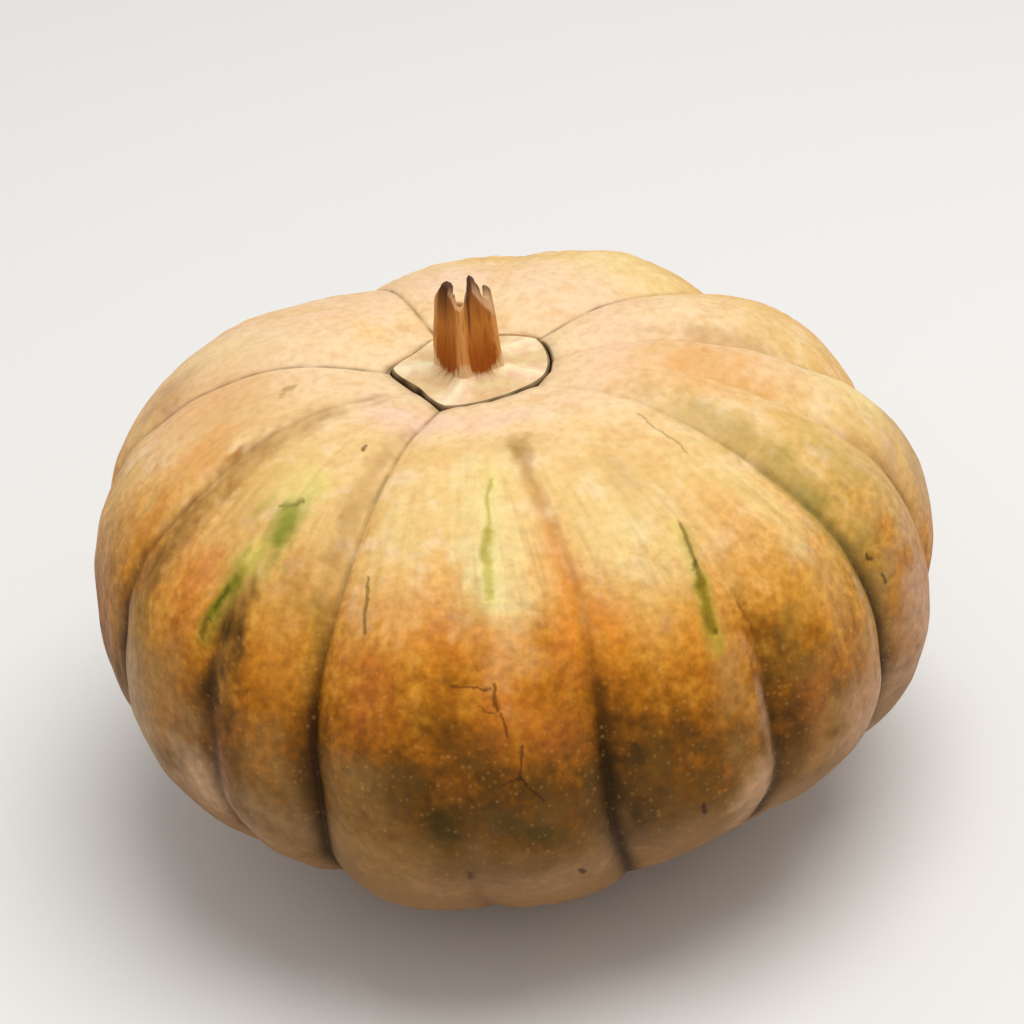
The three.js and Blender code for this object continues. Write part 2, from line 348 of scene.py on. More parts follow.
def skin(lobe, share, fall, lift=0.0):
    # the plain profile moved along its normal by swell, cuts and lift, hollowed by bell curves at the crown
    # and the scar, bent flat underneath and shifted by the lean
    upper = fall < 90
    plainRadius, plainLevel, height, across, along = plainProfile(fall)
    outX, outZ = across / fruit["bodyRadius"], along / height
    length = np.hypot(outX, outZ)
    swell = eased(fruit["swellFalls"], grooveTable("swell", lobe), fall) * np.sin(np.pi * share) * across
    fade = np.where(upper, 1, smoothStep(fruit["scarRadius"], fruit["scarFadeRadius"], plainRadius))
    relief = (swell - lobeCuts(lobe, share, fall)) * fade + lift
    radius = plainRadius + outX / length * relief
    crownHollow = fruit["cavityDepth"] * np.exp(-(radius / fruit["cavityRadius"]) ** 2)
    scarHollow = fruit["scarDepth"] * np.exp(-(radius / fruit["scarRadius"]) ** 2)
    level = fruit["lowerHeight"] - fruit["flatSpotCut"] + plainLevel + outZ / length * relief
    level = level + np.where(upper, -crownHollow, scarHollow)
    bend = fruit["flatSpotBlend"]
    level = np.where(level > bend, level, np.maximum(level + bend, 0) ** 2 / (4 * bend))
    middleX, middleY = bodyMiddle(level, np.maximum(along, 0) ** 2)
    return pointsAt(middleX, middleY, lobeAzimuth(lobe, share, fall), radius, level)


def fallAtRadius(radius):
    # the radius's share of the body's, raised to half the upper fullness, is the sine of the fall
    return np.degrees(np.arcsin((radius / fruit["bodyRadius"]) ** (fruit["upperFullness"] / 2)))


def arcAtFall(fall):
    # the way down the plain profile from the crown, in millimetres: the sum of its short straight steps
    steps = np.linspace(0, 180, 721)
    radius, level = plainProfile(steps)[:2]
    arc = np.concatenate([[0], np.cumsum(np.hypot(np.diff(radius), np.diff(level)))])
    return np.interp(fall, steps, arc)


# Waxy rind of a ripe field pumpkin: satin, cream where it grew in the sun, tan orange on its flanks and
# brown towards the ground, lighter on top and darker below partly from painted light and shade, with streaks
# from crown to base. A scale is a pattern's repeats in a millimetre.
rind = {
    # down the fruit: the dark band low on the flanks and the brown below it are partly painted shade
    "tonesAndPaintedShade": [
        (0.05, "#f8d7a7"), (0.11, "#f3cc8d"), (0.17, "#f2c981"), (0.22, "#efc073"), (0.26, "#ecb262"),
        (0.30, "#e19f42"), (0.345, "#cb8525"), (0.39, "#ae690f"), (0.43, "#96580e"), (0.467, "#7a4c10"),
        (0.505, "#744e1c"), (0.555, "#866032"), (0.64, "#946c42"), (0.78, "#9c7349"), (0.92, "#b08858"),
        (0.945, "#a67e50"), (0.962, "#835c36"), (0.975, "#7a5634"), (0.988, "#ab8558"), (1.0, "#c09c6a"),
    ],
    "tints": {
        "pink": "#f6cdb2",
        "gold": "#dfa646",
        "orange": "#e98c26",
        "red": "#cd6f34",
        "pale": "#f6e09c",
        "lime": "#f0dc7e",
        "shade": "#a46f28",
        "olive": "#a08834",
        "green": "#aaa347",
        "tan": "#bb8c4c",
        # pale dusty bloom colours, partly painted sheen where the lobes turn away
        "ash": "#bd9a70",
        "mauve": "#cc9f7c",
        "dark": "#3a2706",
    },
    # painted shade, laid as a colour in the grooves, along the folds and in the open crease round the stem
    "paintedShadeColour": "#2e1a02",
    "paintedShadeSpread": (0.9, 3.5),  # how far a groove's shade spreads, near the crown and on the flanks
    "fullPaintedShadeDepth": 7,  # how deep a groove is where its shade is full
    "paintedCornerLine": 0.8,  # how far the thin dark lines from the foot's corners spread
    "peach": "#fbdcb0",
    "honey": "#e4ab5c",
    "streakLight": "#fae0a2",
    "streakDark": "#b0741f",
    "speck": "#e2a860",
    "pit": "#5a3208",
    "streakScale": 0.3,  # growth streaks 3 mm across and ten times as long
    "blotchScale": 0.1,  # blotches of 10 mm
    "mottleScale": 0.34,  # soft mottles of 3 mm
    "speckScale": 0.56,  # specks and pits sit in cells of 1.8 mm
    "roughness": (0.42, 0.6),
    "ior": 1.45,
    "specular": 0.13,  # the dusty bloom on the wax takes most of its shine
    "bumpDepth": 0.0005,  # in metres
}

# how many degrees of fall later (+) or sooner (-) the rind turns from cream to orange, by azimuth
ripening = [
    (-180, 2), (-150, 0), (-125, 5), (-102, 14), (-88, 14), (-78, 5), (-65, 0), (-50, 1), (-35, 0), (-20, 0),
    (-8, -1), (0, 0), (8, -3), (14, -3), (22, 3), (30, 3), (38, 0), (45, 4), (50, 8), (56, 9), (62, 9),
    (70, 12), (80, 20), (90, 29), (102, 22), (118, 11), (140, 4), (160, 0),
]

# broad changes of tone: azimuth and fall of the middle, half size across and along in mm, strength
patches = {
    "pink": [
        (-108, 34, 50, 36, 0.5), (-27, 12, 26, 9, 0.65), (80, 14, 40, 10, 0.3), (6, 13, 10, 5, 0.5),
        (150, 20, 50, 14, 0.4), (205, 24, 30, 18, 0.4)],
    "gold": [
        (-84, 30, 20, 20, 0.45), (-51, 34, 9, 20, 0.4), (-22, 22, 12, 7, 0.3), (-8, 20, 14, 6, 0.3),
        (45, 64, 13, 12, 0.38), (36, 30, 10, 8, 0.3), (80, 27, 14, 16, 0.5), (98, 34, 10, 20, 0.2),
        (71, 43, 9, 14, 0.4), (24, 58, 14, 10, 0.4), (30, 73, 8, 14, 0.25), (-34, 54, 12, 12, 0.5),
        (190, 46, 30, 14, 0.4), (128, 50, 24, 16, 0.3)],
    "orange": [
        (11.5, 45, 6, 24, 0.5), (13, 57, 12, 13, 0.7), (0, 56, 9, 7, 0.5), (-8, 57, 16, 8, 0.4),
        (-72, 38, 12, 14, 0.45), (-70, 56, 8, 12, 0.4), (-50, 56, 14, 16, 0.4), (40, 43, 9, 10, 0.3),
        (-33, 63, 10, 14, 0.4), (26, 64, 12, 10, 0.35), (0, 68, 14, 8, 0.4), (78, 24, 18, 24, 0.22),
        (86, 34, 16, 18, 0.2), (-97, 36, 20, 20, 0.25), (170, 52, 30, 16, 0.4), (212, 58, 16, 20, 0.3)],
    "red": [
        (-51, 55, 9, 13, 0.3), (-19, 65, 10, 14, 0.45), (-14, 52, 12, 7, 0.3), (8, 61, 4, 12, 0.3),
        (0, 61, 9, 13, 0.42), (41, 84, 8, 16, 0.3), (4, 74, 16, 8, 0.25), (150, 62, 16, 16, 0.35),
        (225, 66, 14, 18, 0.4)],
    "pale": [
        (1, 38, 11, 30, 0.8), (0.5, 47, 10, 7, 0.6), (24, 42, 14, 20, 0.5), (-46, 32, 8, 16, 0.25),
        (36, 42, 10, 14, 0.3), (-16, 34, 8, 20, 0.3), (50, 46, 7, 20, 0.4), (72, 68, 10, 16, 0.4),
        (90, 76, 14, 12, 0.35), (93, 58, 12, 26, 0.55), (140, 34, 20, 20, 0.4), (250, 34, 16, 24, 0.4)],
    "lime": [
        (-40.5, 32, 8, 8, 0.75), (-40.5, 46, 7, 8, 0.5), (62, 58, 8, 18, 0.2)],
    # mostly painted shade in soft bands along the grooves, elsewhere the rind's own darker tone
    "shade": [
        (-61, 28, 6, 34, 0.6), (-61, 52, 9, 26, 0.85), (-50, 40, 8, 14, 0.2), (-27.5, 30, 3.5, 40, 0.45),
        (-31, 56, 7, 26, 0.45), (-41, 61, 8, 15, 0.85), (13.5, 20, 3.4, 6, 0.42), (12, 27, 2.5, 20, 0.5),
        (31, 34, 5, 14, 0.2), (-103, 46, 12, 12, 0.45), (-71, 57, 9, 14, 0.35), (99, 32, 4, 26, 0.35)],
    # olive rind, and painted shade where the bands follow the grooves at azimuths 60, -28 and 12
    "olive": [
        (-39.5, 43, 6, 8, 0.6), (60, 34, 7, 22, 0.4), (59.5, 50, 6, 22, 0.5), (60.5, 66, 9, 24, 0.45),
        (70, 57, 9, 14, 0.25), (40, 74, 10, 10, 0.3), (-60, 73, 9, 12, 0.5), (-28, 54, 3, 20, 0.3),
        (12, 20, 6, 4, 0.3), (238, 78, 14, 20, 0.4)],
    "green": [
        (-40, 38.5, 7, 9, 0.9), (-43, 50, 4, 9, 0.5), (60, 76, 9, 14, 0.3), (70, 51, 8, 16, 0.22),
        (55, 68, 8, 16, 0.18)],
    "tan": [
        (60, 84, 22, 18, 0.6), (-21, 84, 10, 10, 0.4), (-53, 80, 14, 18, 0.6), (-34, 84, 8, 14, 0.45),
        (-72, 76, 10, 16, 0.5), (78, 72, 20, 24, 0.5), (60, 76, 10, 16, 0.5), (46, 90, 14, 16, 0.5),
        (30, 90, 8, 18, 0.5), (-58, 84, 12, 16, 0.35), (-20, 98, 14, 14, 0.4), (92, 74, 12, 18, 0.55),
        (150, 96, 50, 12, 0.5), (222, 92, 36, 14, 0.5), (-110, 88, 30, 18, 0.5)],
    # pale dusty bloom with painted sheen towards the sides and the lobes' lower edges
    "ash": [
        (-82, 68, 16, 18, 0.5), (-63, 88, 14, 24, 0.75), (-48, 92, 10, 16, 0.5), (92, 82, 14, 18, 0.35),
        (-95, 62, 14, 16, 0.35), (50, 69, 7, 14, 0.3), (30, 68, 6, 14, 0.2), (-34, 98, 16, 14, 0.35)],
    # pinkish bloom with painted sheen, in thin strips on the lobes' edges beside the grooves and on the
    # lower flanks
    "mauve": [
        (52, 93, 16, 14, 0.6), (56.5, 82, 1.8, 26, 0.6), (33.6, 82, 1.8, 20, 0.5), (31, 98, 8, 16, 0.6),
        (71, 86, 13, 22, 0.9), (62, 100, 26, 14, 0.5), (-46, 97, 14, 14, 0.6), (0, 106, 40, 10, 0.15),
        (92, 78, 16, 18, 0.35), (178, 104, 44, 14, 0.25)],
    # dark spots of the rind, and painted shade where the patches follow the grooves low down
    "dark": [
        (-40.5, 64, 7, 14, 0.8), (-42.5, 76, 7, 9, 0.7), (-10, 88.5, 7, 5, 0.5), (0.5, 90, 9, 5, 0.4),
        (-6, 84, 28, 8, 0.45), (38, 88, 6, 10, 0.55), (-9, 72, 8, 5, 0.4), (19, 78, 12, 10, 0.3),
        (12, 88, 10, 12, 0.5), (13.5, 84, 5, 20, 0.6), (15, 98, 8, 12, 0.5), (-6, 102, 16, 9, 0.3),
        (38, 76, 6, 16, 0.5), (-61, 60, 5, 16, 0.4), (-29, 84, 4, 22, 0.25)],
}


def patchMask(patch, azimuth, fall, push):
    # one less the product of what each soft oval leaves, its edge pushed about by swells of 14 and 5 mm
    left = np.ones(fall.shape)
    for middle, middleFall, across, along, strength in patch:
        sideways = ((azimuth - middle + 180) % 360 - 180) * widthAtFall(fall) / across
        lengthways = (arcAtFall(fall) - arcAtFall(middleFall)) / along
        away = np.sqrt(sideways ** 2 + lengthways ** 2) + push * min(1, 5 / across + 0.3)
        left *= 1 - strength * smoothStep(1.6, 0.2, away)
    return 1 - left


def rindRelief(plain, flow, fall, down):
    # slow dents and swells and fine ripples, which fade out at the crease and round the scar
    away = smoothStep(0, 0.12, down) * smoothStep(176, 150, fall)
    longDent, shortDent = fruit["dentLengths"]
    dents = waves(plain, longDent, 1) + 0.6 * waves(plain, shortDent, 2)
    fineRipple, broadRipple = fruit["rippleLengths"]
    ripples = waves(flow, fineRipple, 3) + waves(flow, broadRipple, 4)
    return (fruit["unevenness"] * dents - fruit["inset"] + fruit["ripple"] * ripples) * away


def paintedGrooveShade(lobe, share, fall, plain):
    # painted shade: a bell curve across each groove, darker where its cut is deep
    left, right = grooveDistance(lobe, share, fall)
    nearest = np.minimum(left, right)
    folds = foldCuts(lobe, share, fall)
    depth = lobeCuts(lobe, share, fall) + folds
    crownSpread, flankSpread = rind["paintedShadeSpread"]
    spread = crownSpread + (flankSpread - crownSpread) * smoothStep(30, 85, fall)
    shade = np.clip(depth / rind["fullPaintedShadeDepth"], 0, 1) * (0.65 + 0.35 * smoothStep(45, 75, fall))
    shade = shade * np.exp(-(nearest / spread) ** 2)
    # painted shade in thin dark lines along the folds that start at the foot's corners, over the crown
    line = np.clip(folds / 0.5, 0, 1) ** 2 * np.exp(-(nearest / rind["paintedCornerLine"]) ** 2)
    return np.maximum(shade, 0.55 * line * smoothStep(52, 30, fall) * (0.8 + 0.3 * waves(plain, 9, 9, 12)))


def ripeness(azimuth, fall, share, plain, flow):
    # the fall, less how much later the rind ripens at its azimuth, pushed up and down by soft swells
    shift = np.interp(azimuth, *zip(*ripening), period=360)
    tone = fall - shift * smoothStep(8, 30, fall) * smoothStep(120, 80, fall)
    tone = tone + 2.2 * waves(plain, 26, 7) + 1.5 * waves(flow, 9, 8)
    # behind, each lobe's crest ripens later than the grooves beside it
    behind = smoothStep(105, 140, turnBetween(0, azimuth))
    return tone - behind * (7 * np.sin(np.pi * share) ** 2 - 3 + 3 * waves(plain, 60, 15))


def socketRings(azimuth, crease, skinLevel):
    # over the socket's floor to its wall, then a quarter turn from the wall to the skin
    floorLevel, wallTop, gap = fruit["socketFloor"], fruit["socketWallTop"], fruit["socketGap"]
    places = [(-foot["innerRing"], floorLevel), (-foot["innerRing"] / 3, floorLevel), (gap, floorLevel)]
    for step in range(fruit["lipRings"]):
        bend = np.pi / 2 * step / fruit["lipRings"]
        places.append((gap + (crease - gap) * (1 - cos(bend)), wallTop + (skinLevel - wallTop) * sin(bend)))
    return [pointsAt(*stemMiddle, azimuth, footReach(azimuth) + extra, level) for extra, level in places]


def makeFruit():
    lobe, share = lobeColumns(fruit["columns"])
    share = share[None, :]
    crownAzimuth = lobeAzimuth(lobe, share, np.zeros(share.shape))
    crease = creaseWidth(crownAzimuth)
    firstFall = fallAtRadius(footReach(crownAzimuth) + crease)
    down = np.linspace(0, 1, fruit["skinRings"])[:, None]
    fall = firstFall + (fruit["lastFall"] - firstFall) * down ** fruit["ringCrowding"]
    azimuth = lobeAzimuth(lobe, share, fall)
    arc = arcAtFall(fall)
    plain = skin(lobe, share, fall)
    flow = pointsAt(0, 0, azimuth, fruit["flowRadius"], fruit["flowStretch"] * arc)
    folds = foldCuts(lobe, share, fall) * smoothStep(0, 0.02, down)
    surface = skin(lobe, share, fall, rindRelief(plain, flow, fall, down) - folds)
    socket = socketRings(crownAzimuth, crease, surface[:1, :, 2])
    buried, lipRings = len(socket), fruit["lipRings"]

    def withSocket(values, first):
        rows = np.broadcast_to(np.asarray(first, float), (buried, *values.shape[1:]))
        return np.concatenate([rows, values])

    # painted shade in the open crease: darkest deep down and fading over the lip, with a thin dark line at
    # its edge
    groove = paintedGrooveShade(lobe, share, fall, plain)
    groove = np.maximum(groove, 0.25 * smoothStep(0.6, 1.1, crease) * smoothStep(0.006, 0, down))
    paintedLipShade = np.linspace(buried - lipRings, -lipRings, buried)[:, None] / lipRings
    paintedLipShade = smoothStep(0.5, 1.1, crease) * np.clip(1.3 + paintedLipShade, 0.1, 1)
    attributes = {
        "tone": withSocket(ripeness(azimuth, fall, share, plain, flow) / 180, 0.03),
        # the crease attribute holds the painted shade of the grooves and the crease
        "crease": np.concatenate([paintedLipShade, groove]),
        "flow": withSocket(flow, flow[:1]),
    }
    push = 0.25 * waves(plain, 14, 5) + 0.18 * waves(plain, 5, 6)
    for name, patch in patches.items():
        attributes[name] = withSocket(patchMask(patch, azimuth, fall, push), 0)
    width = widthAtFall(fall)
    skinPlace = np.stack([((azimuth + 180) % 360 - 180) * width, arc, 360 * width], -1)
    floorMiddle = (*stemMiddle, fruit["socketFloor"])
    return closedMesh("fruitSkin", floorMiddle, np.concatenate([*socket, surface]), surface[-1].mean(0),
                      attributes, withSocket(skinPlace, skinPlace[:1]))


fruitPiece = makeFruit()
print("fruit shaped")

# The stem.
stem = {
    "columnRadius": 10,
    "columnTopRadius": 7.2,
    "columnHeight": 31,
    "columnLean": (0, 0.6),
    "ridgeHeight": 2.6,
    "ridgeSpread": 32,  # degrees from a ridge to the flute beside it
    "pithHeight": 14,
    "wallThickness": 2.4,
    "tipRounding": 0.7,
    "columns": 288,
    "hollowRings": 14,
    "rimRings": 6,
    "columnRings": 110,
    "flareRings": 44,
    "fibre": 0.22,  # depth of the bark's upright fibres
    "fibreLengths": (1.7, 3.4),
    "fibreRadius": 9,  # fibres are laid out on a drum of this radius,
    "fibreStretch": 0.12,  # and so drawn out to eight times their width
    "fray": 0.35,  # how unevenly the broken rim ends
    "curl": 0.7,  # how far the highest tips bend inwards
}

# the broken rim: azimuth and height, with a prong at the left, the tallest in front, a thin sliver at the
# right and low ones behind
brokenRim = [
    (-150, 17), (-128, 17), (-108, 18.5), (-98, 21), (-90, 25), (-80, 28.4), (-68, 28.6), (-58, 27.4),
    (-48, 25.6), (-38, 24.4), (-28, 23.8), (-20, 23.2), (-13, 22.8), (-5, 23.6), (3, 26), (12, 28.6),
    (21, 30.6), (30, 31.1), (39, 30.6), (46, 28), (52, 24.8), (58, 24.2), (64, 27.2), (68, 26.6), (76, 20.5),
    (84, 17.5), (104, 16), (122, 18.5), (135, 20), (150, 17), (170, 15.5), (190, 17),
]


def ridgeShare(azimuth):
    # 1 on a ridge, falling to 0 in the flutes beside it as a power of the way there
    nearest = turnBetween(np.array(foot["ridgeAngle"], float), azimuth[..., None]).min(-1)
    return np.maximum(0, 1 - nearest / stem["ridgeSpread"]) ** 1.3


def rimTop(azimuth):
    # straight from one height of the rim to the next, frayed by quick waves
    turn = np.radians(azimuth)
    fray = np.sin(23 * turn + 1) * 0.5 + np.sin(41 * turn) * 0.35 + np.sin(67 * turn + 2) * 0.4
    return np.interp(azimuth, *zip(*brokenRim), period=360) + stem["fray"] * (fray - 0.9)


def fibrePlace(azimuth, height):
    # where the bark's fibres are drawn: on an upright drum, with its height shrunk
    turn, drum = np.radians(azimuth) + 0 * height, stem["fibreRadius"]
    return np.stack([drum * np.sin(turn), drum * np.cos(turn), stem["fibreStretch"] * height + 0 * turn], -1)


def columnPoints(azimuth, height, inset):
    # narrows as it rises and bends in at the tips; ridges stand out and fine fibres run up it
    share = height / stem["columnHeight"]
    place = fibrePlace(azimuth, height)
    fine, coarse = stem["fibreLengths"]
    fibre = stem["fibre"] * (waves(place, fine, 11) + 0.6 * waves(place, coarse, 12) - 0.6)
    radius = stem["columnRadius"] * (1 - share) + stem["columnTopRadius"] * share
    radius = radius + stem["ridgeHeight"] * (ridgeShare(azimuth) - 0.5) + fibre
    radius = radius - stem["curl"] * smoothStep(0.6, 1.05, share)
    middleX = stemMiddle[0] + stem["columnLean"][0] * share
    middleY = stemMiddle[1] + stem["columnLean"][1] * share
    return pointsAt(middleX, middleY, azimuth, radius - inset, foot["edge"] + foot["rise"] + height)


def flareRib(azimuth, share):
    # a buttress runs from the foot of each ridge to the corner beside it
    ridges, corners = np.array(foot["ridgeAngle"], float), np.array(foot["cornerAngle"], float)
    swing = (corners - ridges + 180) % 360 - 180
    nearest = turnBetween(ridges + swing * share, azimuth[..., None]).min(-1)
    return np.maximum(0, 1 - nearest / foot["ribSpread"]) ** 1.6


def flarePoints(azimuth, share, low, edge, rib):
    # straight out from the column to the foot's edge, sagging as a square, with buttresses and soft lumps
    points = low * (1 - share) + edge * share
    flat = points * (1, 1, 0)
    lumps = 0.25 * waves(flat, 9, 14) + 0.12 * waves(flat, 3.5, 13) - 0.2
    swell = foot["ribHeight"] * 1.8 * (rib - 0.25) * sin(np.pi * min(1, share * 1.05))
    points[..., 2] = edge[..., 2] + (low[..., 2] - edge[..., 2]) * (1 - share) ** 2
    points[..., 2] += swell + lumps * sin(np.pi * share)
    return points


def stemRings(azimuth, top):
    # rows of points, height above the flare (below 0 on the foot), 1 where inside the hollow, and buttress
    rows = []

    def add(points, height, inner=0.0, rib=0.0):
        rows.append((points, *(np.broadcast_to(value, azimuth.shape) for value in (height, inner, rib))))

    wall, rounding = stem["wallThickness"], stem["tipRounding"]
    for step in range(stem["hollowRings"]):
        # up the inside of the wall, which thins towards the rim
        share = step / stem["hollowRings"]
        height = stem["pithHeight"] * (1 - share) + (top - rounding) * share
        add(columnPoints(azimuth, height, wall * (1.6 - 0.8 * min(1, 2 * share))), height, 1.0)
    for step in range(stem["rimRings"] + 1):
        # a half turn over the broken edge
        bend = np.pi * step / stem["rimRings"]
        height = top - rounding * (1 - sin(bend))
        add(columnPoints(azimuth, height, wall * (0.4 + 0.4 * cos(bend))), height, 0.5)
    for step in range(1, stem["columnRings"]):
        height = (top - rounding) * (1 - step / stem["columnRings"])
        add(columnPoints(azimuth, height, 0), height)
    reach, chamfer = footReach(azimuth), foot["chamfer"]
    low = columnPoints(azimuth, 0 * azimuth, 0)
    edge = pointsAt(*stemMiddle, azimuth, reach - chamfer, foot["edge"] + chamfer / 2)
    for step in range(stem["flareRings"] + 1):
        share = step / stem["flareRings"]
        rib = flareRib(azimuth, share)
        add(flarePoints(azimuth, share, low, edge, rib), -10 * share, rib=rib)
    for step in range(1, foot["chamferRings"] + 1):
        # a quarter turn over the foot's edge
        bend = np.pi / 2 * step / foot["chamferRings"]
        level = foot["edge"] - chamfer / 2 + chamfer * cos(bend)
        add(pointsAt(*stemMiddle, azimuth, reach - chamfer * (1 - sin(bend)), level), -11.0)
    for inset, level in ((0, foot["bottom"] + chamfer), (chamfer, foot["bottom"]),
                         (foot["innerRing"], foot["bottom"])):
        add(pointsAt(*stemMiddle, azimuth, reach - inset, level), -13.0)
    return [np.concatenate(part) for part in zip(*rows)]


def stemShades(azimuth, top, heights):
    rise = heights / stem["columnHeight"]
    # the high tips are weathered dark: a long way down the left prong, only a little down the front one
    left = smoothStep(-20, -50, (azimuth + 180) % 360 - 180)
    tipShare = smoothStep(7 + 9 * left, -1, top - heights) * smoothStep(24, 28, top) * (0.95 - 0.1 * left)
    # a dark crack runs a third of the way down the left side of the front prong
    crack = 0.85 * np.exp(-((azimuth - 3 - 6 * rise) / 2.6) ** 2) * smoothStep(0.3, 0.55, rise)
    # the front prong is pale cream down its right side, in a wedge that narrows to half way down: partly
    # paler bark, partly painted light on its lit face
    paleBarkAndLightFrom = 24 + 140 * np.clip(0.85 - rise, 0, 1)
    bare = 0.85 * smoothStep(-3, 6, azimuth - paleBarkAndLightFrom) * smoothStep(104, 92, azimuth)
    bare = bare * smoothStep(0.42, 0.55, rise)
    # painted shade of the open crease, uneven, over the foot's rounded edge and down its side
    uneven = 0.8 + 0.18 * waves(pointsAt(0, 0, azimuth, 27, 0 * azimuth), 11, 16)
    grime = uneven * smoothStep(-10.1, -10.9, heights) * smoothStep(0.5, 1.1, creaseWidth(azimuth))
    return {"height": rise, "tipShare": tipShare, "crack": crack, "bare": bare, "grime": grime}


def makeStem():
    azimuth = np.linspace(0, 360, stem["columns"], endpoint=False)[None, :]
    top = rimTop(azimuth)
    rings, heights, inside, ribs = stemRings(azimuth, top)
    attributes = stemShades(azimuth, top, heights)
    attributes["ridge"] = ridgeShare(azimuth) + 0 * heights
    attributes["rib"] = ribs
    attributes["inner"] = inside
    attributes["fibre"] = fibrePlace(azimuth, heights)
    return closedMesh("stemBark", rings[0].mean(0), rings, (*stemMiddle, foot["bottom"]), attributes)


stemPiece = makeStem()
print("stem shaped")


def newMaterial(name):
    material = bpy.data.materials.new(name)
    material.use_nodes = True
    tree = material.node_tree
    tree.nodes.clear()
    shader = addNode(tree, "BsdfPrincipled")
    addNode(tree, "OutputMaterial", input0=shader)
    return material, tree, shader


def millimetres(tree):
    here = addNode(tree, "TexCoord").outputs["Object"]
    return addNode(tree, "VectorMath", {"operation": "SCALE", "Scale": 1 / metresPerMillimetre}, input0=here)


def stacked(tree, colour, layers):
    # layers over a colour, the lowest first: each a colour and how much of it shows
    for shade, share in layers:
        colour = addNode(tree, "Mix", {"data_type": "RGBA", 7: linear(shade)}, input0=share,
                         input6=colour).outputs[2]
    return colour


def patternLayer(tree, shade, area, pattern, low, high, most):
    # a colour that shows more as a pattern goes from low to high, in one area only
    share = addNode(tree, "MapRange", {"From": (low, high), "To": (0, most)}, Value=pattern)
    return shade, addNode(tree, "Math", {"operation": "MULTIPLY"}, input0=share, input1=area)


# thin marks on the rind: start and end as azimuth and fall, half width in mm, colour, strength
marks = [
    # the streak down the middle lobe, pale round a green middle
    ((3, 25), (-0.5, 50), 2, "#f2e090", 0.6), ((2, 27), (0.3, 37), 0.6, "#bfae50", 0.7),
    ((0.3, 37), (-0.2, 42), 1.4, "#b3a23a", 0.8), ((-0.2, 42), (-0.8, 49), 1.1, "#c6b650", 0.75),
    # the streak on the lobe to its right, with two dark spots
    ((32.6, 43), (30.5, 53), 1.5, "#ecd47c", 0.6), ((33.4, 45), (30.4, 57), 2, "#bfa650", 0.6),
    ((30.6, 55), (28.8, 66), 2.6, "#b19a30", 0.75), ((33.7, 43.5), (30.9, 55), 0.7, "#6e5c12", 0.7),
    ((30.8, 54.5), (29.2, 63), 1.5, "#82680a", 0.75), ((31.9, 50.6), (31.2, 51.2), 0.8, "#4c3a08", 0.6),
    ((29.4, 63.4), (29.2, 64), 0.7, "#4c3a08", 0.6),
    # fine lines on the lobes beside them
    ((50, 23), (47.5, 33), 0.35, "#8a7434", 0.5), ((-20.5, 45), (-19.2, 55), 0.45, "#7d6426", 0.75),
    # the green scar at the left, with its long tail
    ((-38.6, 33.8), (-42.6, 36.2), 0.8, "#6a6420", 0.65), ((-39.3, 36.8), (-39.4, 41), 3.6, "#9b9a36", 0.6),
    ((-37.8, 38), (-38.8, 42), 1.7, "#7d8226", 0.45), ((-41.3, 43.5), (-41.6, 48), 2.4, "#dcc854", 0.5),
    ((-42.8, 49.5), (-45.5, 64), 2.4, "#a3922c", 0.6), ((-43, 51), (-44.9, 60), 1.3, "#727010", 0.75),
    ((-43.7, 53.5), (-44.5, 58), 0.7, "#525006", 0.6), ((-45, 60.5), (-45.8, 64), 0.8, "#5e4806", 0.7),
    # fine cracks low on the middle lobe, and two soft dark scars
    ((-7, 64), (-2.4, 64.9), 0.4, "#74400f", 0.75), ((-1.8, 64.4), (-1.2, 69), 0.5, "#5a2c08", 0.7),
    ((-1, 70), (-0.6, 73.5), 0.4, "#63330c", 0.75), ((-3.8, 68), (-1.6, 69.5), 0.3, "#74400f", 0.6),
    ((0.5, 75.5), (0.2, 81), 0.45, "#4a240a", 0.65), ((0.2, 81), (2.4, 85.5), 0.35, "#4a240a", 0.75),
    ((0.2, 81), (-2.2, 82), 0.35, "#4a240a", 0.65), ((-10.6, 87.5), (-10, 90), 3.6, "#3a3208", 0.7),
    ((-2.5, 88.5), (3.5, 92), 2.6, "#48401a", 0.5),
    # small cracks, spots and scabs
    ((35, 60), (36, 67), 0.6, "#80460f", 0.5), ((62.5, 69.5), (63, 71), 0.5, "#3f360f", 0.75),
    ((63.4, 75), (63.8, 77), 0.5, "#3f360f", 0.75), ((-8, 102), (-8, 104), 1, "#4f2a16", 0.7),
    ((6, 105.5), (6.3, 107), 0.9, "#3a1c10", 0.85), ((22.3, 93), (22.6, 95), 0.7, "#3a1c10", 0.8),
    ((-34, 20.6), (-34, 21.4), 0.7, "#6e5020", 0.8), ((-82, 19.5), (-82, 21), 1.3, "#a9823e", 0.6),
]


def markMask(tree, place, mark):
    # distance from a straight run between two places on the skin map, softened over one half width
    start, end = [Vector((azimuth * widthAtFall(fall), arcAtFall(fall), 0)) for azimuth, fall in mark[:2]]
    run = end - start
    step = run / run.length_squared
    halfWidth, strength = mark[2], mark[4]
    along = addNode(tree, "VectorMath", {"operation": "DOT_PRODUCT", 1: step}, input0=place)
    along = addNode(tree, "Math", {"operation": "SUBTRACT", 1: start.dot(step), "use_clamp": True},
                    input0=along.outputs["Value"])
    nearest = addNode(tree, "VectorMath", {"operation": "MULTIPLY_ADD", 1: run, 2: start}, input0=along)
    away = addNode(tree, "VectorMath", {"operation": "DISTANCE"}, input0=place, input1=nearest)
    return addNode(tree, "MapRange", {"From": (halfWidth * 1.7, halfWidth * 0.4), "To": (0, strength)},
                   Value=away.outputs["Value"])


